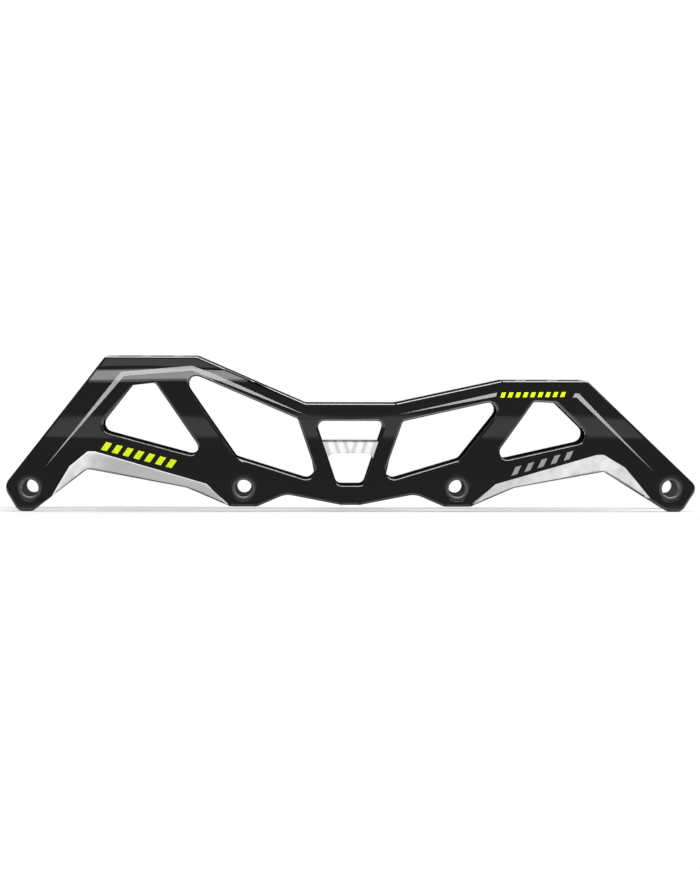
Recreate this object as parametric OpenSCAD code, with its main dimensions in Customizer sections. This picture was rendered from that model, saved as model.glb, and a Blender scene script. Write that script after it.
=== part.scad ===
// Inline skate frame for four wheels: two cut side walls joined by two boot decks and a centre bridge.
// Millimetres. X runs along the frame towards the toe, Z runs up from the floor under the end bosses.
// Heights named rise or drop are measured from the line of the axles.

/* [Axles] */
// Distance from one axle to the next
axle_pitch = 101.6; // [96:0.1:106]
// Radius round each axle that is kept clear for the wheel
wheel_room = 53; // [51:0.5:54]
// Radius of the plain axle hole
axle_hole_r = 4.05; // [3.9:0.01:4.3]
// Radius of the tapped axle hole, at the crests of the thread
thread_r = 3.325; // [3.2:0.005:3.6]
// Width of the bevel round each axle hole
hole_bevel = 0.45; // [0.2:0.05:0.7]
// Radius of the shallow facing round each axle hole
facing_r = 6.2; // [5.5:0.1:7]
// Depth of that facing
facing_depth = 0.2; // [0.1:0.05:0.4]

/* [Axle bushes] */
// Radius of a bush where it sits in the wall
bush_r = 5.5; // [5.2:0.1:6]
// Radius of the bush flange that the bearing leans on
flange_r = 7.4; // [6.8:0.1:7.6]
// Thickness of the bush flange
flange_thickness = 1.6; // [1:0.1:1.9]
// Wall left outside the end of a bush
bush_skin = 1.2; // [0.9:0.1:1.6]
// Play all round a bush or a dowel in its hole
seat_play = 0.02; // [0.01:0.01:0.05]

/* [Side walls] */
// Clear width between the two walls
channel_width = 28; // [27.4:0.1:30]
// Thickness of a wall at the axles
wall_thickness = 3.5; // [3.2:0.1:4.5]
// How far the wall steps out above the waist
waist_flare = 0.5; // [0.2:0.1:0.9]
// Rise of the lower edge of the waist band
waist_low_rise = 24; // [21:0.5:27]
// Rise of the upper edge of the waist band
waist_high_rise = 34.5; // [31:0.5:42]
// How far the wall steps out again under the rear deck
shoulder_flare = 2; // [1:0.1:3]
// Rise of the lower edge of the shoulder
shoulder_low_rise = 51.3; // [46:0.1:53]
// Rise of the upper edge of the shoulder
shoulder_high_rise = 56.6; // [54:0.1:58]
// Height of the lip that leans out under the rear deck
lip_height = 4.7; // [3:0.1:5.5]
// How far that lip leans out
lip_flare = 0.3; // [0.1:0.05:0.6]
// Height of the flat top at the middle of the frame
centre_rise = 40.4; // [39:0.1:42]
// Half the length of that flat top
centre_top_reach = 21.4; // [19:0.1:24]
// Rounding of the soft bends along the top edge
top_round = 4; // [2:0.5:6]

/* [Bosses] */
// From the axle down to the bottom of an end boss, which stands on the floor
end_boss_drop = 11; // [10.6:0.1:12]
// Length of the flat under an end boss, outside its axle
end_boss_outside = 5.5; // [4:0.1:6]
// Length of the flat under an end boss, inside its axle
end_boss_inside = 1.3; // [0.8:0.1:2.5]
// From the axle down to the bottom of a middle boss
mid_boss_drop = 8.7; // [7.8:0.1:9]
// Half the length of the flat under a middle boss
mid_boss_reach = 6.3; // [5.5:0.1:7]
// Rear tip, outwards and up from the rear axle
rear_tip = [12.6, 0.8]; // [0:0.1:14]
// Front tip, outwards and up from the front axle
front_tip = [13.1, 0.6]; // [0:0.1:14]
// Rounding of the rear tip
rear_tip_round = 6; // [3:0.5:7]
// Rounding of the front tip
front_tip_round = 4.5; // [1.5:0.5:5.5]
// Rounding of the boss corners
boss_round = 4.5; // [1.5:0.5:5.5]

/* [Arches] */
// Crown of the rear arch, inwards and up from the rear axle
rear_arch_crown = [27.3, 9]; // [7:0.1:30]
// Crown of the front arch, inwards and up from the front axle
front_arch_crown = [31.4, 8]; // [6:0.1:34]
// Knee of either arch, from the middle axle towards the end and up
arch_knee = [27.3, 0.3]; // [0:0.1:30]
// Haunch between the middle bosses, from the middle axle inwards and down
haunch = [20, 2.8]; // [2:0.1:23]
// From the axle line down to the belly at the middle of the frame
belly_drop = 7.9; // [7:0.1:9]
// Half the length of the belly flat
belly_reach = 4.5; // [3:0.1:6]
// Rounding of the arch crowns
crown_round = 3; // [1:0.5:5]
// Rounding of the knees and haunches
knee_round = 10; // [4:0.5:12]

/* [Milled ramps] */
// Slope of the bright ramp milled over each arch, in degrees
ramp_slope = 16; // [10:0.5:17]
// Rear ramp edge at its outer foot, from the rear axle inwards and up
rear_ramp_foot = [10.5, -3.6]; // [-5:0.1:12]
// Rear ramp edge at its outer bend
rear_ramp_bend = [18.9, 10.5]; // [9:0.1:20]
// Rear ramp edge where its short level top starts
rear_ramp_top = [27.5, 17.5]; // [15:0.1:29]
// Front ramp edge at its outer foot, from the front axle inwards and up
front_ramp_foot = [10.3, -5]; // [-6:0.1:12]
// Front ramp edge at its outer bend
front_ramp_bend = [21.7, 10.1]; // [9:0.1:23]
// Front ramp edge where its short level top starts
front_ramp_top = [31.8, 16.1]; // [14:0.1:33]
// Length of the short level top of a ramp
ramp_top_length = 3.4; // [1:0.1:5]
// Either ramp edge at its inner bend, from the middle axle towards the end and up
ramp_inner_bend = [18.2, 2.1]; // [1:0.1:20]
// Either ramp edge at its inner foot, from the middle axle towards the end and down
ramp_inner_foot = [6.9, 8.3]; // [5:0.1:10]

/* [Rear window] */
// Top rear corner, from the rear boot bolt and down from the rear deck
rear_window_a = [-6.7, -13.8]; // [-16:0.1:0]
// Top front corner, measured the same way
rear_window_b = [4.6, -12.6]; // [-16:0.1:8]
// Low front corner, from the second axle and up from the axle line
rear_window_c = [-16.9, 13.5]; // [-24:0.1:20]
// Low rear corner, from the rear axle and up from the axle line
rear_window_d = [31.6, 27.7]; // [24:0.1:36]
// Corner roundings, in the same order
rear_window_rounds = [1.5, 2, 3.5, 4]; // [1:0.5:6]

/* [Rear slope window] */
// Top rear corner, from the front end of the rear deck and down from that deck
slope_window_a = [-12.2, -3.9]; // [-15:0.1:-3]
// Top front corner, from the rear end of the flat centre top
slope_window_b = [-3.8, -7.3]; // [-9:0.1:0]
// Low front corner, from the middle of the frame and up from the axle line
slope_window_c = [-14.7, 2.2]; // [-18:0.1:4]
// Low rear corner, from the second axle and up from the axle line
slope_window_d = [-3.7, 14.6]; // [-8:0.1:18]
// Corner roundings, in the same order
slope_window_rounds = [4.2, 1.5, 4, 1.5]; // [1:0.1:6]

/* [Centre window] */
// Half the width of the window at its top
centre_window_top = 16.6; // [14:0.1:18]
// Half the width of the window at its bottom
centre_window_bottom = 6.3; // [4.5:0.1:7]
// Metal left over the window
centre_window_rail = 8.25; // [7:0.05:9]
// Height of the bottom of the window over the axle line
centre_window_sill = 1.4; // [0:0.1:3]
// Rounding of the corners
centre_window_round = 3; // [1:0.5:4]

/* [Front slope window] */
// Top rear corner, from the front end of the flat centre top
rise_window_a = [3.5, -8.5]; // [-10:0.1:8]
// Top front corner, from the rear end of the front deck and down from that deck
rise_window_b = [3.9, -8]; // [-13:0.1:5]
// Low front corner, from the third axle and up from the axle line
rise_window_c = [1.5, 13.7]; // [-4:0.1:18]
// Low rear corner, from the middle of the frame and up from the axle line
rise_window_d = [14.4, 2.3]; // [1:0.1:18]
// Corner roundings, in the same order
rise_window_rounds = [1.5, 4, 1.5, 4]; // [1:0.5:6]

/* [Front window] */
// Top rear corner, from the front boot bolt and down from the front deck
front_window_a = [-10.3, -10]; // [-14:0.1:-6]
// Top front corner, measured the same way
front_window_b = [0.4, -10.6]; // [-14:0.1:4]
// Low front corner, from the front axle and up from the axle line
front_window_c = [-36.4, 23]; // [-42:0.1:26]
// Low rear corner, from the third axle and up from the axle line
front_window_d = [15.4, 11.8]; // [8:0.1:18]
// Corner roundings, in the same order
front_window_rounds = [2, 2, 4.2, 3.6]; // [1:0.1:6]

/* [Boot decks] */
// Distance between the front and the rear boot bolt
bolt_spacing = 195; // [190:0.5:200]
// Height of the rear deck over the axle line
rear_deck_rise = 62.7; // [60:0.1:66]
// Height of the front deck over the axle line
front_deck_rise = 51.3; // [50:0.1:54]
// From the rear bolt back to the top rear corner of the wall
rear_deck_behind = 19; // [17:0.1:21]
// From the rear bolt forward to the front end of the rear deck
rear_deck_ahead = 24.6; // [22:0.1:27]
// From the front bolt back to the rear end of the front deck
front_deck_behind = 25.5; // [23:0.1:27]
// From the front bolt forward to the top front corner of the wall
front_deck_ahead = 15.1; // [13:0.1:17]
// Thickness of a deck
deck_thickness = 5; // [4:0.1:6]
// Width of a cross slot
slot_width = 8; // [6.5:0.1:9]
// Length of a cross slot from end to end
slot_length = 20; // [16:0.5:21]
// Distance from one cross slot to the next
slot_pitch = 15.2; // [14:0.1:16]

/* [Centre bridge] */
// How far the bridge lies below the top edge of the walls
bridge_drop = 1; // [0.5:0.1:1.6]
// Thickness of the bridge
bridge_thickness = 5; // [4.4:0.1:5.4]

/* [Window bars] */
// Height of the top of the bar over the axle line
bar_top_rise = 22.2; // [19:0.1:25]
// Height of the bar at its middle
bar_height = 5.4; // [4:0.1:7]
// Radius of the fillet under each end of the bar
bar_fillet = 2.8; // [1.5:0.1:4]
// Thickness of the bar
bar_thickness = 1.5; // [1.3:0.1:1.8]
// Lean of the outer face of the bar, which is milled back towards its foot, in degrees
bar_lean = 8; // [4:0.5:8]
// How far each end of the bar runs behind the wall
bar_lap = 5; // [3:0.1:6]
// Play round each end of the bar in its seat
bar_play = 0.1; // [0.05:0.05:0.3]

/* [Dowels] */
// Radius of the dowels
dowel_r = 1.5; // [1:0.1:1.7]
// Depth of a dowel in a deck or in the bridge
dowel_in_deck = 6; // [4:0.5:7]
// Depth of a dowel in a wall
dowel_in_wall = 2.2; // [1.5:0.1:2.6]
// Distance between the two dowels on each side of the bridge
bridge_dowel_gap = 9; // [7:0.5:11]

/* [Hidden] */
$fn = 64;
// Flat facets in each rounded corner of an outline
corner_steps = 6;
// Overrun of a cutting shape past the metal it cuts
overrun = 2;

axles = [for (i = [0:3]) (i - 1.5) * axle_pitch];
rear_bolt = -bolt_spacing / 2;
front_bolt = bolt_spacing / 2;
rear_deck_front = rear_bolt + rear_deck_ahead;
front_deck_rear = front_bolt - front_deck_behind;

inner_half = channel_width / 2;
outer_half = inner_half + wall_thickness;
waist_half = outer_half + waist_flare;
shoulder_half = waist_half + shoulder_flare;
lip_half = shoulder_half + lip_flare;
hub_half = inner_half - flange_thickness;
bush_end = outer_half - bush_skin;
bar_low_rise = bar_top_rise - bar_height - bar_fillet;
bridge_top_rise = centre_rise - bridge_drop;

// Longer than the frame and wider than its walls, for shapes that cut right through
past_end = axles[3] + axle_pitch;
past_side = lip_half + overrun;

// Corners of the wall from the rear tip, anticlockwise, each with its rounding
wall_outline = [
    [axles[0] - rear_tip.x, rear_tip.y, rear_tip_round],
    [axles[0] - end_boss_outside, -end_boss_drop, boss_round],
    [axles[0] + end_boss_inside, -end_boss_drop, boss_round],
    [axles[0] + rear_arch_crown.x, rear_arch_crown.y, crown_round],
    [axles[1] - arch_knee.x, arch_knee.y, knee_round],
    [axles[1] - mid_boss_reach, -mid_boss_drop, boss_round],
    [axles[1] + mid_boss_reach, -mid_boss_drop, boss_round],
    [axles[1] + haunch.x, -haunch.y, knee_round],
    [-belly_reach, -belly_drop, boss_round],
    [belly_reach, -belly_drop, boss_round],
    [axles[2] - haunch.x, -haunch.y, knee_round],
    [axles[2] - mid_boss_reach, -mid_boss_drop, boss_round],
    [axles[2] + mid_boss_reach, -mid_boss_drop, boss_round],
    [axles[2] + arch_knee.x, arch_knee.y, knee_round],
    [axles[3] - front_arch_crown.x, front_arch_crown.y, crown_round],
    [axles[3] - end_boss_inside, -end_boss_drop, boss_round],
    [axles[3] + end_boss_outside, -end_boss_drop, boss_round],
    [axles[3] + front_tip.x, front_tip.y, front_tip_round],
    [front_bolt + front_deck_ahead, front_deck_rise, top_round / 2],
    [front_deck_rear, front_deck_rise, top_round],
    [centre_top_reach, centre_rise, top_round],
    [-centre_top_reach, centre_rise, top_round],
    [rear_deck_front, rear_deck_rise, top_round],
    [rear_bolt - rear_deck_behind, rear_deck_rise, top_round / 2]
];

// Corners of each window: top rear, top front, low front, low rear
rear_window = [
    [rear_bolt, rear_deck_rise] + rear_window_a,
    [rear_bolt, rear_deck_rise] + rear_window_b,
    [axles[1], 0] + rear_window_c,
    [axles[0], 0] + rear_window_d
];
slope_window = [
    [rear_deck_front, rear_deck_rise] + slope_window_a,
    [-centre_top_reach, centre_rise] + slope_window_b,
    slope_window_c,
    [axles[1], 0] + slope_window_d
];
centre_window = [
    [-centre_window_top, centre_rise - centre_window_rail],
    [centre_window_top, centre_rise - centre_window_rail],
    [centre_window_bottom, centre_window_sill],
    [-centre_window_bottom, centre_window_sill]
];
rise_window = [
    [centre_top_reach, centre_rise] + rise_window_a,
    [front_deck_rear, front_deck_rise] + rise_window_b,
    [axles[2], 0] + rise_window_c,
    rise_window_d
];
front_window = [
    [front_bolt, front_deck_rise] + front_window_a,
    [front_bolt, front_deck_rise] + front_window_b,
    [axles[3], 0] + front_window_c,
    [axles[2], 0] + front_window_d
];
centre_window_rounds = [for (i = [0:3]) centre_window_round];
windows = [
    with_rounds(rear_window, rear_window_rounds),
    with_rounds(slope_window, slope_window_rounds),
    with_rounds(centre_window, centre_window_rounds),
    with_rounds(rise_window, rise_window_rounds),
    with_rounds(front_window, front_window_rounds)
];

// Upper edge of each milled ramp, with the metal that is cut away on the right hand of the walker
rear_ramp = [
    [axles[0], 0] + rear_ramp_foot,
    [axles[0], 0] + rear_ramp_bend,
    [axles[0], 0] + rear_ramp_top,
    [axles[0] + ramp_top_length, 0] + rear_ramp_top,
    [axles[1] - ramp_inner_bend.x, ramp_inner_bend.y],
    [axles[1] - ramp_inner_foot.x, -ramp_inner_foot.y]
];
front_ramp = [
    [axles[2] + ramp_inner_foot.x, -ramp_inner_foot.y],
    [axles[2] + ramp_inner_bend.x, ramp_inner_bend.y],
    [axles[3] - front_ramp_top.x - ramp_top_length, front_ramp_top.y],
    [axles[3] - front_ramp_top.x, front_ramp_top.y],
    [axles[3] - front_ramp_bend.x, front_ramp_bend.y],
    [axles[3] - front_ramp_foot.x, front_ramp_foot.y]
];

// Half width of a wall at each height, as corners of its extruded section
wall_section = [
    [-end_boss_drop - overrun, inner_half],
    [-end_boss_drop - overrun, outer_half],
    [waist_low_rise, outer_half],
    [waist_high_rise, waist_half],
    [shoulder_low_rise, waist_half],
    [shoulder_high_rise, shoulder_half],
    [rear_deck_rise - lip_height, shoulder_half],
    [rear_deck_rise, lip_half],
    [rear_deck_rise + overrun, lip_half],
    [rear_deck_rise + overrun, inner_half]
];

// Half the width of the centre window at a given height
function window_half(rise) = centre_window_bottom + (centre_window_top - centre_window_bottom)
    * (rise - centre_window_sill) / (centre_rise - centre_window_rail - centre_window_sill);
bar_reach = window_half(bar_top_rise) + bar_lap;
bar_foot = window_half(bar_low_rise);

// Dowel places on each side, as distance along the frame and rise
deck_dowel_offset = slot_pitch / 2;
rear_dowels = [for (s = [-1, 1]) [rear_bolt + s * deck_dowel_offset, rear_deck_rise - deck_thickness / 2]];
front_dowels = [for (s = [-1, 1]) [front_bolt + s * deck_dowel_offset, front_deck_rise - deck_thickness / 2]];
bridge_dowels = [for (s = [-1, 1]) [s * bridge_dowel_gap / 2, bridge_top_rise - bridge_thickness / 2]];

function with_rounds(corners, rounds) = [for (i = [0:len(corners) - 1]) concat(corners[i], rounds[i])];
function flat(p) = [p.x, p.y];
function unit(v) = v / norm(v);

// Points of the arc that rounds corner c between its neighbours p and n
function corner_arc(p, c, n) =
    let (
        to_p = unit(flat(p) - flat(c)),
        to_n = unit(flat(n) - flat(c)),
        half_angle = acos(to_p * to_n) / 2,
        middle = flat(c) + unit(to_p + to_n) * c.z / sin(half_angle),
        from = flat(c) + to_p * c.z / tan(half_angle) - middle,
        to = flat(c) + to_n * c.z / tan(half_angle) - middle,
        start = atan2(from.y, from.x),
        turn = atan2(from.x * to.y - from.y * to.x, from * to)
    )
    [for (k = [0:corner_steps])
        middle + c.z * [cos(start + turn * k / corner_steps), sin(start + turn * k / corner_steps)]];

// Outline with every corner rounded by the radius held in its third number
function rounded(corners) =
    let (last = len(corners) - 1)
    [for (i = [0:last])
        each corner_arc(corners[i == 0 ? last : i - 1], corners[i], corners[i == last ? 0 : i + 1])];

// A shape drawn flat, with height as Y and half width as Z, stood up as the right or the left side
module on_right() { translate([0, 0, end_boss_drop]) rotate([90, 0, 0]) children(); }
module on_left() { mirror([0, 1, 0]) on_right() children(); }

// Room for one milled ramp: everything outside the tilted planes through the lengths of its upper edge
module ramp_cut(edge) {
    intersection_for (i = [0:len(edge) - 2]) {
        along = edge[i + 1] - edge[i];
        translate([edge[i].x, edge[i].y, outer_half])
            rotate([0, 0, atan2(along.y, along.x)])
            rotate([ramp_slope, 0, 0])
            translate([-past_end, -past_end, 0])
            cube([2 * past_end, 2 * past_end, past_end]);
    }
}

// Axle hole with its bevel, its facing and the seat of the bush behind it
module axle_seat() {
    cylinder(r = axle_hole_r, h = past_side);
    translate([0, 0, outer_half - facing_depth - hole_bevel])
        cylinder(r1 = axle_hole_r, r2 = axle_hole_r + hole_bevel, h = hole_bevel);
    translate([0, 0, outer_half - facing_depth])
        cylinder(r = facing_r, h = overrun);
    translate([0, 0, inner_half - overrun])
        cylinder(r = bush_r + seat_play, h = bush_end - inner_half + overrun);
}

// Blind holes for dowels, in the wall and in the piece that it joins
module dowel_holes(places) {
    for (p = places)
        translate([p.x, p.y, inner_half - dowel_in_deck])
            cylinder(r = dowel_r + seat_play, h = dowel_in_deck + dowel_in_wall);
}

module bar_seat() {
    translate([-bar_reach - bar_play, bar_low_rise - bar_play, inner_half - overrun])
        cube([2 * (bar_reach + bar_play), bar_top_rise - bar_low_rise + 2 * bar_play, bar_thickness + overrun]);
}

module side_wall() {
    difference() {
        intersection() {
            linear_extrude(past_side) polygon(rounded(wall_outline));
            translate([-past_end, 0, 0]) rotate([90, 0, 90]) linear_extrude(2 * past_end) polygon(wall_section);
        }
        for (w = windows) linear_extrude(past_side) polygon(rounded(w));
        ramp_cut(rear_ramp);
        ramp_cut(front_ramp);
        for (x = axles) translate([x, 0, 0]) axle_seat();
        bar_seat();
        dowel_holes(concat(rear_dowels, bridge_dowels, front_dowels));
    }
}

// Bar across the centre window, let into the inside of the wall, with a fillet under each end
module window_bar() {
    difference() {
        translate([0, 0, inner_half]) linear_extrude(bar_thickness) difference() {
            translate([-bar_reach, bar_low_rise]) square([2 * bar_reach, bar_top_rise - bar_low_rise]);
            translate([-bar_foot + bar_fillet, bar_low_rise - overrun])
                square([2 * (bar_foot - bar_fillet), bar_fillet + overrun]);
            for (s = [-1, 1]) translate([s * (bar_foot - bar_fillet), bar_low_rise]) circle(bar_fillet);
        }
        translate([-past_end, bar_top_rise, inner_half + bar_thickness])
            rotate([bar_lean, 0, 0])
            translate([0, -past_end, 0])
            cube([2 * past_end, past_end + overrun, past_end]);
    }
}

// Flanged bush let into a wall from inside, with its hole
module axle_bush(hole_r) {
    difference() {
        union() {
            translate([0, 0, hub_half]) cylinder(r = flange_r, h = inner_half - hub_half);
            translate([0, 0, hub_half]) cylinder(r = bush_r, h = bush_end - hub_half);
        }
        cylinder(r = hole_r, h = past_side);
    }
}

// Room for the four wheels, right across the channel
module wheel_rooms() {
    for (x = axles) translate([x, 0, -past_side]) cylinder(r = wheel_room, h = 2 * past_side, $fn = 128);
}

// Part of the walls' own outline between two ends, filling the channel from one height down
module channel_block(from_x, to_x, top, thickness) {
    intersection() {
        translate([0, 0, -inner_half]) linear_extrude(2 * inner_half) polygon(rounded(wall_outline));
        translate([from_x, top - thickness, -inner_half]) cube([to_x - from_x, thickness, 2 * inner_half]);
    }
}

// Cross slot for a boot bolt, centred on x and running on by a given length, down through a deck
module cross_slot(x, run_on) {
    straight = slot_length - slot_width;
    past_deck = rear_deck_rise + end_boss_drop + overrun;
    translate([x, 0, 0]) {
        for (s = [-1, 1]) translate([0, s * straight / 2, 0]) cylinder(r = slot_width / 2, h = past_deck);
        translate([-slot_width / 2, -straight / 2, 0]) cube([slot_width, straight, past_deck]);
        if (run_on != 0)
            translate([min(0, run_on), -slot_length / 2, 0]) cube([abs(run_on), slot_length, past_deck]);
    }
}

// Deck with its cross slots: the outermost one is open to the end of the deck
module mount_deck(from_x, to_x, bolt_x, top, outward, dowels) {
    difference() {
        on_right() difference() {
            channel_block(from_x, to_x, top, deck_thickness);
            wheel_rooms();
            dowel_holes(dowels);
            mirror([0, 0, 1]) dowel_holes(dowels);
        }
        cross_slot(bolt_x - outward * slot_pitch, 0);
        cross_slot(bolt_x, 0);
        cross_slot(bolt_x + outward * slot_pitch, outward * past_end);
    }
}

module dowels(places) {
    color("silver") for (p = places) {
        on_right() dowel(p);
        on_left() dowel(p);
    }
}

module dowel(p) {
    translate([p.x, p.y, inner_half - dowel_in_deck]) cylinder(r = dowel_r, h = dowel_in_deck + dowel_in_wall);
}

module right_side_wall() { color("#1d1e20") on_right() side_wall(); }
module left_side_wall() { color("#1d1e20") on_left() side_wall(); }
module right_window_bar() { color("#c9cbcd") on_right() window_bar(); }
module left_window_bar() { color("#c9cbcd") on_left() window_bar(); }
module rear_mount_deck() {
    color("#232427") mount_deck(-past_end, rear_deck_front, rear_bolt, rear_deck_rise, -1, rear_dowels);
}
module front_mount_deck() {
    color("#232427") mount_deck(front_deck_rear, past_end, front_bolt, front_deck_rise, 1, front_dowels);
}
module centre_bridge() {
    color("#232427") on_right() difference() {
        channel_block(-centre_top_reach, centre_top_reach, bridge_top_rise, bridge_thickness);
        wheel_rooms();
        dowel_holes(bridge_dowels);
        mirror([0, 0, 1]) dowel_holes(bridge_dowels);
    }
}
module right_axle_bush(i) { color("#8d9094") on_right() translate([axles[i], 0, 0]) axle_bush(axle_hole_r); }
module left_axle_insert(i) { color("#8d9094") on_left() translate([axles[i], 0, 0]) axle_bush(thread_r); }
module rear_deck_dowels() { dowels(rear_dowels); }
module centre_bridge_dowels() { dowels(bridge_dowels); }
module front_deck_dowels() { dowels(front_dowels); }

right_side_wall();
left_side_wall();
right_window_bar();
left_window_bar();
rear_mount_deck();
centre_bridge();
front_mount_deck();
right_axle_bush(0);  // right_axle_bush_1
right_axle_bush(1);  // right_axle_bush_2
right_axle_bush(2);  // right_axle_bush_3
right_axle_bush(3);  // right_axle_bush_4
left_axle_insert(0);  // left_axle_insert_1
left_axle_insert(1);  // left_axle_insert_2
left_axle_insert(2);  // left_axle_insert_3
left_axle_insert(3);  // left_axle_insert_4
rear_deck_dowels();
centre_bridge_dowels();
front_deck_dowels();
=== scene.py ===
import math

import bmesh
import bpy
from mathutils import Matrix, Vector
from mathutils.bvhtree import BVHTree


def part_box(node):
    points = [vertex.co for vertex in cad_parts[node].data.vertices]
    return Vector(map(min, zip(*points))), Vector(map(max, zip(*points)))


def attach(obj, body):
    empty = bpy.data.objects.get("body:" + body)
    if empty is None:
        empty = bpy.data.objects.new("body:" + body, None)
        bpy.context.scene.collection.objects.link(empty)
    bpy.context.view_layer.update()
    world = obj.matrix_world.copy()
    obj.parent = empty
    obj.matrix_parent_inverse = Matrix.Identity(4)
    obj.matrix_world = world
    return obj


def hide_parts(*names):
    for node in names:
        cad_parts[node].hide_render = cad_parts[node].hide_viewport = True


# Inline skate frame: the finish of each piece, its softened edges and its printed marks.
# Lengths in metres, in the frame's own axes: X to the toe, Y to the left wall, Z up from the floor.

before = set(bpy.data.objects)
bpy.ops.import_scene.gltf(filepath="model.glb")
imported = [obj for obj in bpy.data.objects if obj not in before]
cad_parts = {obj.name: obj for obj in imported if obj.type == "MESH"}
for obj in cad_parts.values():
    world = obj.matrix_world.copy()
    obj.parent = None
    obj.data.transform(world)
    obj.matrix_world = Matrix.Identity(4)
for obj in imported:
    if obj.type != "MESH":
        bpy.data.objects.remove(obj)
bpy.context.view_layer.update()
MM = 0.001


# Colour and node helpers

def linear(hex_colour):
    """Linear RGBA of an sRGB hex colour."""
    channels = [int(hex_colour[i:i + 2], 16) / 255 for i in (1, 3, 5)]
    straight = [c / 12.92 if c <= 0.04045 else ((c + 0.055) / 1.055) ** 2.4 for c in channels]
    return (*straight, 1.0)


def add_node(tree, kind, settings=None, inputs=None):
    """Adds a node, sets its properties, and sets or links its inputs by name or number."""
    node = tree.nodes.new(kind)
    for name, value in (settings or {}).items():
        setattr(node, name, value)
    for name, value in (inputs or {}).items():
        if isinstance(value, bpy.types.NodeSocket):
            tree.links.new(value, node.inputs[name])
        else:
            node.inputs[name].default_value = value
    return node


def new_surface(name):
    """An empty node material and its tree."""
    material = bpy.data.materials.new(name)
    material.use_nodes = True
    material.node_tree.nodes.clear()
    return material, material.node_tree


def per_metre(size_mm):
    """Texture scale that gives one feature each size_mm."""
    return 1.0 / (size_mm * MM)


# Bands of a wave texture lie this far apart at a scale of one
WAVE_BAND = math.tau / 20


def wave_scale(size_mm):
    """Scale of a wave texture with one band each size_mm along its axis."""
    return per_metre(size_mm) * WAVE_BAND


# Materials

bush_low, bush_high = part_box("right_axle_bush_1")
AXLE_HEIGHT = (bush_low[2] + bush_high[2]) / 2
AXLES = [sum(corner[0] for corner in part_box("right_axle_bush_%d" % i)) / 2 for i in (1, 2, 3, 4)]
AXLE_PITCH = AXLES[1] - AXLES[0]
# Radii round an axle between which the black fades in: inside them a matt grey ring is painted, a painted
# highlight of the hole's bevelled rim
RIM_HIGHLIGHT_RING = (4.4 * MM, 5.9 * MM)


def black_anodised_aluminium():
    """Extruded aluminium under a dyed oxide skin: black, with the skin's own sheen and faint die lines.

    Round the axles a matt grey ring is painted: a painted highlight of each axle hole's bevelled rim."""
    material, tree = new_surface("black_anodised_aluminium")
    place = add_node(tree, "ShaderNodeTexCoord").outputs["Object"]
    axes = add_node(tree, "ShaderNodeSeparateXYZ", inputs={0: place})
    in_pitch = add_node(tree, "ShaderNodeMath", {"operation": "WRAP"}, {
        0: axes.outputs["X"], 1: AXLES[0] + AXLE_PITCH / 2, 2: AXLES[0] - AXLE_PITCH / 2})
    from_axle = add_node(tree, "ShaderNodeCombineXYZ", inputs={
        "X": in_pitch.outputs[0], "Z": axes.outputs["Z"]})
    spoke = add_node(tree, "ShaderNodeVectorMath", {"operation": "DISTANCE"}, {
        0: from_axle.outputs[0], 1: (AXLES[0], 0, AXLE_HEIGHT)})
    # Painted highlight: a grey ring round each axle hole stands in for the light on the hole's bevelled rim
    wear_and_rim_highlight = add_node(tree, "ShaderNodeMapRange", inputs={
        "Value": spoke.outputs["Value"], "From Min": RIM_HIGHLIGHT_RING[0], "From Max": RIM_HIGHLIGHT_RING[1],
        "To Min": 1.0, "To Max": 0.0})
    colour = add_node(tree, "ShaderNodeMix", {"data_type": "RGBA"}, {
        "Factor": wear_and_rim_highlight.outputs[0], 6: linear("#0A0A0B"), 7: linear("#4E4E4F")})
    die_lines = add_node(tree, "ShaderNodeMapping", inputs={
        "Vector": place, "Scale": (per_metre(180), per_metre(1.2), per_metre(1.2))})
    lines = add_node(tree, "ShaderNodeTexNoise", inputs={
        "Vector": die_lines.outputs[0], "Scale": 1.0, "Detail": 3.0})
    # Blasted grain is nearer 0.1 mm: drawn at 0.5 mm so that it shows
    grain = add_node(tree, "ShaderNodeTexNoise", inputs={
        "Vector": place, "Scale": per_metre(0.5), "Detail": 2.0})
    rough = add_node(tree, "ShaderNodeMapRange", inputs={
        "Value": lines.outputs["Fac"], "From Min": 0.3, "From Max": 0.7, "To Min": 0.14, "To Max": 0.16})
    matt = add_node(tree, "ShaderNodeMix", {"data_type": "FLOAT"}, {
        "Factor": wear_and_rim_highlight.outputs[0], 2: rough.outputs[0], 3: 0.5})
    bump = add_node(tree, "ShaderNodeBump", inputs={
        "Height": grain.outputs["Fac"], "Strength": 0.06, "Distance": 0.02 * MM})
    shader = add_node(tree, "ShaderNodeBsdfPrincipled", inputs={
        "Base Color": colour.outputs[2], "IOR": 1.76,
        "Roughness": matt.outputs[0], "Normal": bump.outputs[0]})
    add_node(tree, "ShaderNodeOutputMaterial", inputs={"Surface": shader.outputs[0]})
    return material


# Middle of the long rear ramp, where the cut is painted darker as shade, and how far from it the painted
# shade is still full and where it has gone
PAINTED_SHADE_MIDDLE = -90 * MM
PAINTED_SHADE_REACH = (22 * MM, 38 * MM)


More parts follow.
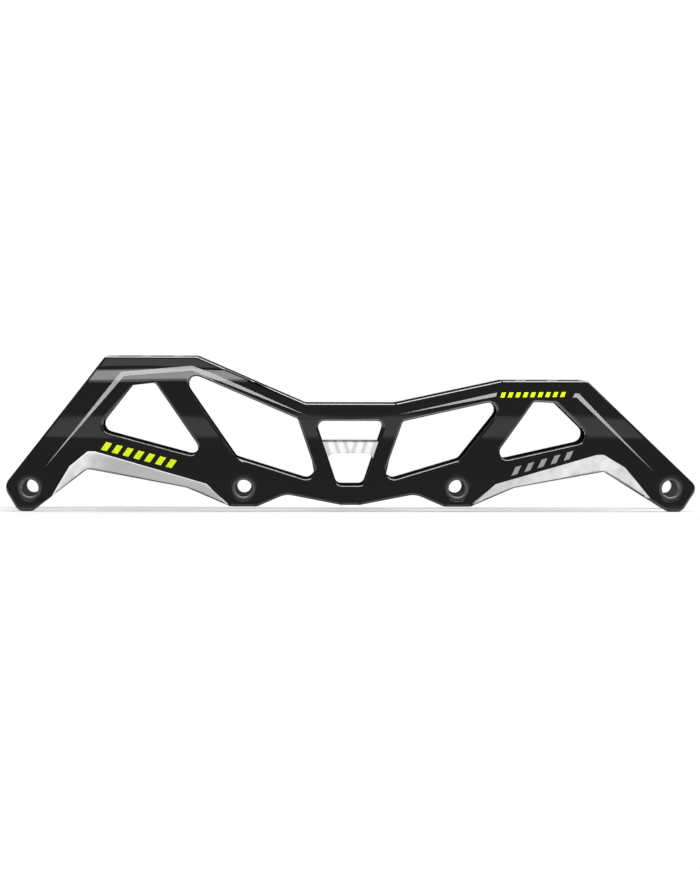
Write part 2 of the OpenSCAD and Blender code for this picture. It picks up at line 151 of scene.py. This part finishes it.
def milled_aluminium():
    """Bare aluminium cut after anodising: bright, with fine cutter marks across the cut, and painted shade
    that darkens the middle of the long rear ramp.
    """
    material, tree = new_surface("milled_aluminium")
    place = add_node(tree, "ShaderNodeTexCoord").outputs["Object"]
    along = add_node(tree, "ShaderNodeSeparateXYZ", inputs={0: place}).outputs["X"]
    offset = add_node(tree, "ShaderNodeMath", {"operation": "SUBTRACT"}, {0: along, 1: PAINTED_SHADE_MIDDLE})
    away = add_node(tree, "ShaderNodeMath", {"operation": "ABSOLUTE"}, {0: offset.outputs[0]})
    bright = add_node(tree, "ShaderNodeMapRange", {"interpolation_type": "SMOOTHSTEP"}, {
        "Value": away.outputs[0], "From Min": PAINTED_SHADE_REACH[0], "From Max": PAINTED_SHADE_REACH[1]})
    # Patches where the cutter rubbed more or less, about 9 mm across
    patches = add_node(tree, "ShaderNodeTexNoise", inputs={
        "Vector": place, "Scale": per_metre(9), "Detail": 2.0})
    wear_and_rim_highlight = add_node(tree, "ShaderNodeMapRange", inputs={
        "Value": patches.outputs["Fac"], "From Min": 0.35, "From Max": 0.65})
    shine = add_node(tree, "ShaderNodeMix", {"data_type": "RGBA"}, {
        "Factor": wear_and_rim_highlight.outputs[0], 6: linear("#CBCBCB"), 7: linear("#EFEFEF")})
    # Painted shade: the cut turns a darker grey towards the middle of the long rear ramp
    colour = add_node(tree, "ShaderNodeMix", {"data_type": "RGBA"}, {
        "Factor": bright.outputs[0], 6: linear("#BABABA"), 7: shine.outputs[2]})
    # Cutter marks are nearer 0.3 mm: drawn at 1.4 mm so that they show
    marks = add_node(tree, "ShaderNodeTexWave", {"wave_type": "BANDS", "bands_direction": "X"}, {
        "Vector": place, "Scale": wave_scale(1.4), "Distortion": 2.0, "Detail": 2.0, "Detail Scale": 0.3})
    rough = add_node(tree, "ShaderNodeMapRange", inputs={
        "Value": marks.outputs["Fac"], "To Min": 0.3, "To Max": 0.36})
    bump = add_node(tree, "ShaderNodeBump", inputs={
        "Height": marks.outputs["Fac"], "Strength": 0.1, "Distance": 0.02 * MM})
    shader = add_node(tree, "ShaderNodeBsdfPrincipled", inputs={
        "Base Color": colour.outputs[2], "Metallic": 1.0,
        "Roughness": rough.outputs[0], "Normal": bump.outputs[0]})
    add_node(tree, "ShaderNodeOutputMaterial", inputs={"Surface": shader.outputs[0]})
    return material


# Painted shadows of the window posts in front of a window bar, drawn as grey bands: their pitch, their lean
# towards the middle, and where the first one lies
POST_SHADOW_PITCH = 4.6 * MM
POST_SHADOW_LEAN = 0.33
POST_SHADOW_START = -8.2 * MM


def bright_cut_with_painted_shadows():
    """Bare aluminium cut by a polished tool: near white, with painted shadows of the window posts as faint
    grey bands that lean to the middle.
    """
    material, tree = new_surface("bright_cut_with_painted_shadows")
    place = add_node(tree, "ShaderNodeTexCoord").outputs["Object"]
    axes = add_node(tree, "ShaderNodeSeparateXYZ", inputs={0: place})
    outwards = add_node(tree, "ShaderNodeMath", {"operation": "ABSOLUTE"}, {0: axes.outputs["X"]})
    leaning = add_node(tree, "ShaderNodeMath", {"operation": "MULTIPLY_ADD"}, {
        0: axes.outputs["Z"], 1: -POST_SHADOW_LEAN, 2: outwards.outputs[0]})
    from_first = add_node(tree, "ShaderNodeMath", {"operation": "SUBTRACT"}, {
        0: leaning.outputs[0], 1: POST_SHADOW_START})
    turns = add_node(tree, "ShaderNodeMath", {"operation": "MULTIPLY"}, {
        0: from_first.outputs[0], 1: math.tau / POST_SHADOW_PITCH})
    # Painted shadows: grey bands where the window posts in front would shade the bar
    bands = add_node(tree, "ShaderNodeMath", {"operation": "COSINE"}, {0: turns.outputs[0]})
    grey = add_node(tree, "ShaderNodeMapRange", inputs={
        "Value": bands.outputs[0], "From Min": -0.3, "From Max": 1.0})
    colour = add_node(tree, "ShaderNodeMix", {"data_type": "RGBA"}, {
        "Factor": grey.outputs[0], 6: linear("#F2F2F2"), 7: linear("#CCCCCC")})
    shader = add_node(tree, "ShaderNodeBsdfPrincipled", inputs={
        "Base Color": colour.outputs[2], "Metallic": 1.0, "Roughness": 0.3})
    add_node(tree, "ShaderNodeOutputMaterial", inputs={"Surface": shader.outputs[0]})
    return material


def etched_aluminium():
    """Dye burnt out of the oxide skin by a laser: matt, pale grey on the black."""
    material, tree = new_surface("laser_etched_aluminium")
    place = add_node(tree, "ShaderNodeTexCoord").outputs["Object"]
    frost = add_node(tree, "ShaderNodeTexNoise", inputs={
        "Vector": place, "Scale": per_metre(0.6), "Detail": 2.0})
    rough = add_node(tree, "ShaderNodeMapRange", inputs={
        "Value": frost.outputs["Fac"], "To Min": 0.55, "To Max": 0.65})
    shader = add_node(tree, "ShaderNodeBsdfPrincipled", inputs={
        "Base Color": linear("#A6A6A6"), "IOR": 1.76, "Roughness": rough.outputs[0]})
    add_node(tree, "ShaderNodeOutputMaterial", inputs={"Surface": shader.outputs[0]})
    return material


def lime_ink():
    """Pad printed lime ink: flat yellow green, with a painted glow that makes it give back more light than
    plain ink under the lamps.
    """
    material, tree = new_surface("lime_pad_print_ink")
    place = add_node(tree, "ShaderNodeTexCoord").outputs["Object"]
    skin = add_node(tree, "ShaderNodeTexNoise", inputs={
        "Vector": place, "Scale": per_metre(0.8), "Detail": 2.0})
    rough = add_node(tree, "ShaderNodeMapRange", inputs={
        "Value": skin.outputs["Fac"], "To Min": 0.35, "To Max": 0.5})
    shader = add_node(tree, "ShaderNodeBsdfPrincipled", inputs={
        # The emission is a painted glow that brightens the ink beyond what the lamps give it
        "Base Color": linear("#D9F000"), "Roughness": rough.outputs[0],
        "Emission Color": linear("#D9F000"), "Emission Strength": 0.2})
    add_node(tree, "ShaderNodeOutputMaterial", inputs={"Surface": shader.outputs[0]})
    return material


def edge_highlight_paint():
    """Painted highlight: a fine bright metal line along the upper edge of a milled cut, brighter than the
    cut, standing in for light caught by the edge's rounding.
    """
    material, tree = new_surface("painted_highlight_on_edge")
    place = add_node(tree, "ShaderNodeTexCoord").outputs["Object"]
    unevenness = add_node(tree, "ShaderNodeTexNoise", inputs={"Vector": place, "Scale": per_metre(2), "Detail": 1.0})
    rough = add_node(tree, "ShaderNodeMapRange", inputs={
        "Value": unevenness.outputs["Fac"], "To Min": 0.25, "To Max": 0.4})
    shader = add_node(tree, "ShaderNodeBsdfPrincipled", inputs={
        "Base Color": linear("#F2F2F2"), "Metallic": 1.0, "Roughness": rough.outputs[0]})
    add_node(tree, "ShaderNodeOutputMaterial", inputs={"Surface": shader.outputs[0]})
    return material


def turned_steel():
    """Turned steel: grey, with fine rings left by the tool."""
    material, tree = new_surface("turned_steel")
    place = add_node(tree, "ShaderNodeTexCoord").outputs["Object"]
    feed = add_node(tree, "ShaderNodeTexWave", {"wave_type": "BANDS", "bands_direction": "Y"}, {
        "Vector": place, "Scale": wave_scale(0.3), "Distortion": 0.5})
    bump = add_node(tree, "ShaderNodeBump", inputs={
        "Height": feed.outputs["Fac"], "Strength": 0.1, "Distance": 0.02 * MM})
    shader = add_node(tree, "ShaderNodeBsdfPrincipled", inputs={
        "Base Color": linear("#6A6C6E"), "Metallic": 1.0, "Roughness": 0.32, "Normal": bump.outputs[0]})
    add_node(tree, "ShaderNodeOutputMaterial", inputs={"Surface": shader.outputs[0]})
    return material


BLACK = black_anodised_aluminium()
MILLED = milled_aluminium()
BRIGHT_CUT_SHADOWED = bright_cut_with_painted_shadows()
ETCHED = etched_aluminium()
LIME = lime_ink()
EDGE_HIGHLIGHT = edge_highlight_paint()
STEEL = turned_steel()


# Pieces made from the solids

# Edges that turn more than this are rounded
SHARP = math.radians(30)
# Faces closer in direction than this count as one plane
ONE_PLANE = math.radians(0.5)
# A rounded piece's face that turned less than this is still its flat side
STILL_FLAT = math.radians(1)
# A face looks out sideways where its normal has more than this along Y
BROADSIDE = 0.85
# Smaller faces than these are facets of a rounding: on the broad sides, and elsewhere
BROAD_FACET = 0.5 * MM * MM
OTHER_FACET = 8 * MM * MM
WELD = 0.001 * MM
ROUNDING_STEPS = 4


def is_flat(face, blends):
    """Whether a face is part of a flat side rather than one facet of a rounding or of a blended bend."""
    broadside = abs(face.normal.y) > BROADSIDE
    height = face.calc_center_median().z
    if broadside and any(abs(height - bend) < reach for bend, reach in blends):
        return False
    return face.calc_area() > (BROAD_FACET if broadside else OTHER_FACET)


def shade(mesh, flat_normals):
    """Gives flat faces their own normal up to their edges, and lets the roundings run between them."""
    tags = mesh.attributes["flat_face"].data
    flats = {}
    around = [[] for _ in mesh.vertices]
    for face in mesh.polygons:
        tag = tags[face.index].value
        if tag and face.normal.angle(flat_normals[tag]) < STILL_FLAT:
            flats[face.index] = set(face.vertices)
        for corner in face.vertices:
            around[corner].append(face)
    normals = []
    for face in mesh.polygons:
        own = set(face.vertices)
        for corner in face.vertices:
            near = [other for other in around[corner] if face.normal.angle(other.normal) < SHARP]
            touching = [other for other in near if other.index in flats]
            if face.index in flats:
                normals.append(face.normal.copy())
            elif touching:
                nearest = max(touching, key=lambda other: (
                    len(own & flats[other.index]), other.normal.dot(face.normal)))
                normals.append(nearest.normal.copy())
            else:
                total = sum((other.normal * other.area for other in near), Vector())
                normals.append(total.normalized())
    mesh.normals_split_custom_set(normals)


def softened(node_name, width_of_edge, surfaces, surface_of_face=None, cuts=(), blends=()):
    """A copy of a solid with its sharp edges rounded, each by the width that width_of_edge gives it.

    Its flat faces are cut across at each of the cuts, so that no face has a hole in it. Each blend is the
    height of a bend in the broad sides and how far its shading reaches above and below."""
    solid = bmesh.new()
    solid.from_mesh(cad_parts[node_name].data)
    bmesh.ops.remove_doubles(solid, verts=solid.verts, dist=WELD)
    planes = [((cut, 0, 0), (1, 0, 0)) for cut in cuts]
    planes += [((0, 0, bend + s * reach), (0, 0, 1)) for bend, reach in blends for s in (-1, 1)]
    for place, normal in planes:
        parts = solid.verts[:] + solid.edges[:] + solid.faces[:]
        made = bmesh.ops.bisect_plane(solid, geom=parts, dist=WELD, plane_co=place, plane_no=normal)
        for part in made["geom_cut"]:
            if isinstance(part, bmesh.types.BMEdge):
                part.seam = True
    bmesh.ops.dissolve_limit(solid, angle_limit=ONE_PLANE, verts=solid.verts, edges=solid.edges,
                             delimit={"SEAM"})
    weight = solid.edges.layers.float.new("bevel_weight_edge")
    flat_tag = solid.faces.layers.int.new("flat_face")
    widths = {edge: width_of_edge(edge) for edge in solid.edges
              if edge.is_manifold and edge.calc_face_angle() > SHARP}
    widest = max(widths.values())
    for edge, width in widths.items():
        edge[weight] = width / widest
    flat_normals = [None]
    for face in solid.faces:
        face.smooth = True
        if is_flat(face, blends):
            face[flat_tag] = len(flat_normals)
            flat_normals.append(face.normal.copy())
        if surface_of_face:
            face.material_index = surface_of_face(face)
    mesh = bpy.data.meshes.new(node_name + "_cut")
    solid.to_mesh(mesh)
    solid.free()
    for surface in surfaces:
        mesh.materials.append(surface)
    piece = bpy.data.objects.new(node_name + "_softened", mesh)
    bpy.context.scene.collection.objects.link(piece)
    rounding = piece.modifiers.new("edge rounding", "BEVEL")
    rounding.limit_method = "WEIGHT"
    rounding.width = widest
    rounding.segments = ROUNDING_STEPS
    rounding.loop_slide = False
    rounding.use_clamp_overlap = False
    graph = bpy.context.evaluated_depsgraph_get()
    rounded = bpy.data.meshes.new_from_object(piece.evaluated_get(graph))
    rounded.name = node_name + "_softened"
    piece.modifiers.clear()
    piece.data = rounded
    bpy.data.meshes.remove(mesh)
    shade(rounded, flat_normals)
    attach(piece, "root")
    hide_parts(node_name)


# Side walls

# Widths of the roundings: round the outer face, and on all other edges
OUTER_EDGE = 1.1 * MM
FINE_EDGE = 0.2 * MM
# Rim of the shallow facing round an axle hole, how far out it lies, and the zone that it lies in
FACING_EDGE = 0.15 * MM
FACING_TOP = 17.45 * MM
HOLE_ZONE = 7 * MM
# Edges further out than this border the outer face, and edges shorter than this stay sharp
OUTER_FACE = 17.4 * MM
SHORT_EDGE = 0.2 * MM
# A wall is cut through each axle hole and each window
WINDOW_MIDDLES = [x * MM for x in (-95, -45, 0, 45, 93)]
WALL_CUTS = AXLES + WINDOW_MIDDLES
# Heights at which the outer face of a wall bends, and how far each bend is blended, in mm
WALL_BENDS = [(35, 1.6), (45.5, 1.6), (62.3, 0.8), (67.6, 0.5), (69, 0.5)]
WALL_BLENDS = [(height * MM, reach * MM) for height, reach in WALL_BENDS]
# The ramps lie below this height, and their normals have this much along Y
RAMP_TOP = 30 * MM
RAMP_TILT = (0.90, 0.985)


def near_axle(point):
    """Whether a point lies in the zone round an axle hole."""
    return any(math.hypot(point.x - x, point.z - AXLE_HEIGHT) < HOLE_ZONE for x in AXLES)


def wall_edge_width(edge):
    """Width of the rounding of a wall's edge."""
    if any(near_axle(v.co) for v in edge.verts):
        return FACING_EDGE if all(abs(v.co.y) > FACING_TOP for v in edge.verts) else 0.0
    if edge.calc_length() < SHORT_EDGE:
        return 0.0
    if all(abs(v.co.y) > OUTER_FACE for v in edge.verts):
        return OUTER_EDGE
    return FINE_EDGE


def wall_surface(face):
    """0 for the black faces, 1 for the milled ramps."""
    middle = face.calc_center_median()
    tilted = RAMP_TILT[0] < abs(face.normal.y) < RAMP_TILT[1]
    return 1 if tilted and middle.z < RAMP_TOP and not near_axle(middle) else 0


for wall in ("right_side_wall", "left_side_wall"):
    softened(wall, wall_edge_width, [BLACK, MILLED], wall_surface, WALL_CUTS, WALL_BLENDS)

# Decks, bridge, bars and turned pieces

DECK_EDGE = 0.5 * MM
for deck in ("rear_mount_deck", "front_mount_deck", "centre_bridge"):
    softened(deck, lambda edge: DECK_EDGE, [BLACK])

BAR_EDGE = 0.25 * MM
# A face is on top where its normal has more than this along Z
FACES_UP = 0.7


def bar_surface(face):
    """0 for the cut faces, 1 for the black top."""
    return 1 if face.normal.z > FACES_UP else 0


for bar in ("right_window_bar", "left_window_bar"):
    softened(bar, lambda edge: BAR_EDGE, [BRIGHT_CUT_SHADOWED, BLACK], bar_surface)

for name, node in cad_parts.items():
    if "bush" in name or "insert" in name or "dowels" in name:
        node.data.materials.clear()
        node.data.materials.append(STEEL)


# Printed and etched marks, laid on the outer face of a wall

def wall_skin(node_name):
    """Search tree of a wall's faces, for laying marks on it."""
    skin = bmesh.new()
    skin.from_mesh(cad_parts[node_name].data)
    tree = BVHTree.FromBMesh(skin)
    skin.free()
    return tree


SKINS = {-1: wall_skin("right_side_wall"), 1: wall_skin("left_side_wall")}
INK_LIFT = 0.06 * MM
# A place well outside the walls, from which marks are laid on them
OUTSIDE = 100 * MM


def mark(name, outline_mm, side, surface):
    """A thin shape on a wall's outer face. The outline gives distance along the frame and height, in mm."""
    print_face = bmesh.new()
    corners = [print_face.verts.new((x * MM, 0, z * MM)) for x, z in outline_mm]
    print_face.faces.new(corners)
    for height, _ in WALL_BENDS:
        parts = print_face.verts[:] + print_face.edges[:] + print_face.faces[:]
        bmesh.ops.bisect_plane(print_face, geom=parts, plane_co=(0, 0, height * MM), plane_no=(0, 0, 1))
    for corner in print_face.verts:
        start = Vector((corner.co.x, side * OUTSIDE, corner.co.z))
        hit = SKINS[side].ray_cast(start, Vector((0, -side, 0)))[0]
        corner.co.y = hit.y + side * INK_LIFT
    for face in print_face.faces:
        face.normal_update()
        if face.normal.y * side < 0:
            face.normal_flip()
    mesh = bpy.data.meshes.new(name)
    print_face.to_mesh(mesh)
    print_face.free()
    mesh.materials.append(surface)
    piece = bpy.data.objects.new(name, mesh)
    bpy.context.scene.collection.objects.link(piece)
    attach(piece, "root")


def leaning_bars(start, end, height, count, fill, lean):
    """Outlines of equal bars in a row from start to end, each leaning forward. Lengths in mm.

    Fill is the share of the pitch that a bar takes, and lean is how far its top is ahead of its foot."""
    along = Vector(end) - Vector(start)
    up = Vector((-along.y, along.x)).normalized() * height / 2
    forward = along.normalized() * lean / 2
    pitch = along / count
    outlines = []
    for i in range(count):
        left = Vector(start) + pitch * i
        right = left + pitch * fill
        corners = (left - up - forward, right - up - forward, right + up + forward, left + up + forward)
        outlines.append([tuple(corner) for corner in corners])
    return outlines


def ribbons(line, width):
    """Outlines of a narrow strip under each length of a line drawn towards the toe. Lengths in mm."""
    outlines = []
    for start, end in zip(line, line[1:]):
        along = Vector(end) - Vector(start)
        under = Vector((along.y, -along.x)).normalized() * width
        outlines.append([start, end, tuple(Vector(end) + under), tuple(Vector(start) + under)])
    return outlines


# Outlines of the marks: distance along the frame and height, in mm
REAR_STRIPE = [(-145.5, 20.6), (-107.6, 64.4), (-75.5, 67), (-64.6, 62.9), (-21.2, 45.9),
               (-64.6, 65.3), (-75.3, 69.3), (-109.1, 66.4)]
FRONT_STRIPE = [(23, 46.3), (69.1, 54.9), (69.6, 56.8)]
TOE_STRIPE = [(105.5, 54.5), (107.4, 54.5), (144.3, 19.3), (108.5, 56.4), (106.6, 56.4)]

REAR_BARS = leaning_bars(start=(-117.4, 31.2), end=(-81.5, 21.8), height=4.2, count=7, fill=0.55, lean=1.6)
DECK_TICKS = leaning_bars(start=(71.5, 55.6), end=(103.5, 55.9), height=2.4, count=9, fill=0.55, lean=0.9)
FRONT_BARS = leaning_bars(start=(77.5, 19.2), end=(108.5, 28.1), height=3.4, count=5, fill=0.45, lean=3)

# The painted highlight along the upper edge of the rear ramp
REAR_TOP = [(-140.4, 10), (-133.5, 21.5), (-124.9, 28.5), (-121.5, 28.5), (-68.6, 13.2), (-58.2, 3.4)]
RAMP_EDGE_HIGHLIGHTS = ribbons(REAR_TOP, width=0.55)
# A thin black strip drawn along the foot of each ramp, towards the heel
REAR_FOOT = [(-60, 3.8), (-78.1, 11.5), (-125.1, 20.2), (-140, 8.9)]
FRONT_FOOT = [(140, 7.3), (121, 19.2), (78.1, 11.5), (60, 3.8)]
FOOT_WIDTH = 0.3
RAMP_FEET = ribbons(REAR_FOOT, FOOT_WIDTH) + ribbons(FRONT_FOOT, FOOT_WIDTH)

for side, word in ((-1, "right"), (1, "left")):
    mark(word + "_rear_stripe", REAR_STRIPE, side, ETCHED)
    mark(word + "_front_stripe", FRONT_STRIPE, side, ETCHED)
    mark(word + "_toe_stripe", TOE_STRIPE, side, ETCHED)
    for i, outline in enumerate(REAR_BARS):
        mark("%s_rear_bar_%d" % (word, i + 1), outline, side, LIME)
    for i, outline in enumerate(DECK_TICKS):
        mark("%s_deck_tick_%d" % (word, i + 1), outline, side, LIME)
    for i, outline in enumerate(FRONT_BARS):
        mark("%s_front_bar_%d" % (word, i + 1), outline, side, ETCHED)
    for i, outline in enumerate(RAMP_FEET):
        mark("%s_ramp_foot_%d" % (word, i + 1), outline, side, BLACK)
    # Painted highlights along the rear ramp's upper edge
    for i, outline in enumerate(RAMP_EDGE_HIGHLIGHTS):
        mark("%s_ramp_edge_highlight_%d" % (word, i + 1), outline, side, EDGE_HIGHLIGHT)


# Floor, light and camera

WHITE = linear("#FFFFFF")
# Share of plain white mixed into the floor near the object, which keeps its shadow pale
SHADOW_LIFT = 0.3
# Distances from the middle of the object between which the floor fades to plain white
SHADOW_REACH = (0.2, 0.3)


def white_floor():
    """Matt white paper that fades to plain white far from the object and keeps the shadow near it."""
    material, tree = new_surface("matt_white_floor")
    place = add_node(tree, "ShaderNodeNewGeometry").outputs["Position"]
    reach = add_node(tree, "ShaderNodeVectorMath", {"operation": "LENGTH"}, {0: place})
    fade = add_node(tree, "ShaderNodeMapRange", {"interpolation_type": "SMOOTHSTEP"}, {
        "Value": reach.outputs["Value"], "From Min": SHADOW_REACH[0], "From Max": SHADOW_REACH[1],
        "To Min": SHADOW_LIFT})
    seen = add_node(tree, "ShaderNodeLightPath").outputs["Is Camera Ray"]
    share = add_node(tree, "ShaderNodeMath", {"operation": "MULTIPLY"}, {0: fade.outputs[0], 1: seen})
    matt = add_node(tree, "ShaderNodeBsdfDiffuse", inputs={"Color": linear("#A2A2A2")})
    glow = add_node(tree, "ShaderNodeEmission", inputs={"Color": WHITE, "Strength": 1.0})
    mixed = add_node(tree, "ShaderNodeMixShader", inputs={
        0: share.outputs[0], 1: matt.outputs[0], 2: glow.outputs[0]})
    add_node(tree, "ShaderNodeOutputMaterial", inputs={"Surface": mixed.outputs[0]})
    return material


floor_mesh = bpy.data.meshes.new("floor")
# The paper ends in front of the object, so the upright faces mirror the dark room beyond it
FLOOR_SIDE, FLOOR_FRONT, FLOOR_BACK = 1.0, -0.045, 1.2
floor_mesh.from_pydata([(-FLOOR_SIDE, FLOOR_FRONT, 0), (FLOOR_SIDE, FLOOR_FRONT, 0),
                        (FLOOR_SIDE, FLOOR_BACK, 0), (-FLOOR_SIDE, FLOOR_BACK, 0)], [], [(0, 1, 2, 3)])
floor_mesh.materials.append(white_floor())
floor = bpy.data.objects.new("floor", floor_mesh)
bpy.context.scene.collection.objects.link(floor)

world = bpy.data.worlds.new("studio")
bpy.context.scene.world = world
world.use_nodes = True
sky = world.node_tree
sky.nodes.clear()
path = add_node(sky, "ShaderNodeLightPath")
direction = add_node(sky, "ShaderNodeTexCoord").outputs["Generated"]
parts = add_node(sky, "ShaderNodeSeparateXYZ", inputs={0: direction})
# Plain white behind the object. Its faces mirror a dark room round a white table instead: dim where the
# table is seen at a low angle, lightest where it is seen from above. Each step is the slope down at which
# it starts, the slope at which it is full, and the light that it adds.
ROOM_LIGHT = 0.13
TABLE_STEPS = [(-0.02, -0.05, -0.05), (-0.085, -0.13, 0.68), (-0.17, -0.27, 0.75), (-0.36, -0.46, -0.68),
               (-0.63, -0.69, 4.4)]
room = ROOM_LIGHT
for start, full, light in TABLE_STEPS:
    step = add_node(sky, "ShaderNodeMapRange", inputs={
        "Value": parts.outputs["Z"], "From Min": full, "From Max": start, "To Min": light, "To Max": 0.0})
    room = add_node(sky, "ShaderNodeMath", {"operation": "ADD"}, {0: room, 1: step.outputs[0]}).outputs[0]
studio = add_node(sky, "ShaderNodeBackground", inputs={"Color": WHITE, "Strength": room})
white = add_node(sky, "ShaderNodeBackground", inputs={"Color": WHITE, "Strength": 1.0})
shown = add_node(sky, "ShaderNodeMixShader", inputs={
    0: path.outputs["Is Camera Ray"], 1: studio.outputs[0], 2: white.outputs[0]})
add_node(sky, "ShaderNodeOutputWorld", inputs={"Surface": shown.outputs[0]})


def softbox(name, place, aim, width, depth, watts):
    """A soft rectangular lamp. Lengths in metres."""
    lamp = bpy.data.lights.new(name, "AREA")
    lamp.shape = "RECTANGLE"
    lamp.size = width
    lamp.size_y = depth
    lamp.energy = watts
    holder = bpy.data.objects.new(name, lamp)
    holder.location = place
    holder.rotation_euler = (Vector(aim) - Vector(place)).to_track_quat("-Z", "Y").to_euler()
    bpy.context.scene.collection.objects.link(holder)


softbox("overhead_softbox", place=(0.2, 0.1, 0.9), aim=(0.2, 0.1, 0), width=1.5, depth=1.4, watts=18)
softbox("overhead_strip", place=(0.2, -0.05, 0.88), aim=(0.2, -0.05, 0), width=1.5, depth=0.3, watts=21)

# A long lens a little above the frame, with its sensor and focal length in mm
SENSOR_WIDTH = 36
LENS = 168.5
EYE = Vector((-0.030, -1.95, 0.096))
AIM = Vector((-0.0003, -0.0175, 0.0367))
ROLL = math.radians(0.107)
camera_data = bpy.data.cameras.new("camera")
camera_data.sensor_width = SENSOR_WIDTH
camera_data.lens = LENS
camera = bpy.data.objects.new("camera", camera_data)
camera.location = EYE
look = (AIM - EYE).to_track_quat("-Z", "Y")
camera.rotation_euler = look.to_euler()
camera.rotation_euler.rotate_axis("Z", ROLL)
bpy.context.scene.collection.objects.link(camera)
bpy.context.scene.camera = camera
bpy.context.scene.view_settings.view_transform = "Standard"
